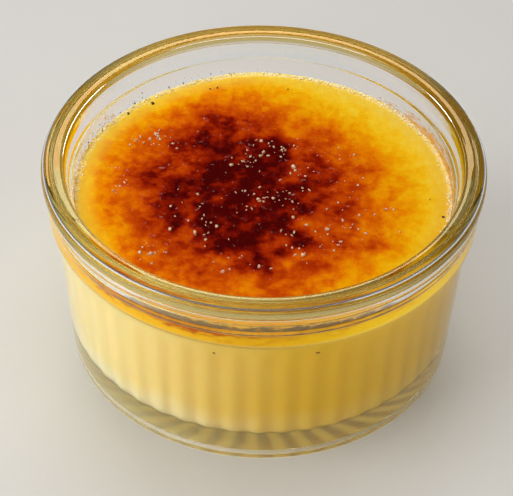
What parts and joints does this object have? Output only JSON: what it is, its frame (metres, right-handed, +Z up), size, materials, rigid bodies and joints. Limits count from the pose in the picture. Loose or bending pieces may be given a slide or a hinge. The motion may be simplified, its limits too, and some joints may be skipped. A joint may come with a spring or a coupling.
{
  "type": "creme brulee",
  "caption": "Creme brulee in a clear glass ramekin: a tapered dish with a beaded rim collar and a fluted inside, filled with pale custard under a scorched caramel layer.",
  "frame": {"origin": "middle of the foot, at the height of the surface the dish stands on", "axes": "+Z up along the axis the dish is turned about; the dish is alike all round, and the scorched patch lies a little towards -X and +Y"},
  "size_m": [0.096, 0.096, 0.0495],
  "materials": {
    "ramekin_glass": "clear pressed glass, smooth and glossy",
    "custard": "set egg custard, pale yellow, smooth and slightly translucent",
    "caramel": "caramelised sugar over custard, glossy, yellow at the edge to dark red-brown where scorched"
  },
  "bodies": {
    "root": {"ramekin": "ramekin_glass", "custard": "custard", "caramel": "caramel"}
  },
  "joints": []
}
